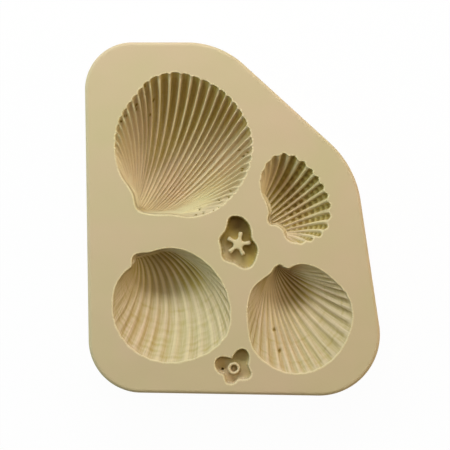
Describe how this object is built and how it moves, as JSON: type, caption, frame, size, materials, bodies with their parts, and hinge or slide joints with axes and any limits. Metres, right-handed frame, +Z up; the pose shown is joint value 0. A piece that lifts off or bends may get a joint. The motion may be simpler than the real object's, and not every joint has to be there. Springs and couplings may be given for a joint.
{
  "type": "seashell mould",
  "caption": "Flexible silicone rubber slab mould with ribbed seashell hollows and small lobed pockets sunk in its flat top face, for casting shells in sand, clay or paste.",
  "frame": {"origin": "middle of the underside: the centre of the slab's outline in x and y, on the flat face that it rests on", "axes": "+Z up out of the open hollows, +Y along the slab towards the large cockle, +X to the right, towards the small cockle"},
  "size_m": [0.0984, 0.118, 0.02],
  "materials": {
    "silicone": "matte cast silicone, cream"
  },
  "bodies": {
    "root": {"mould_body": "silicone"}
  },
  "joints": []
}
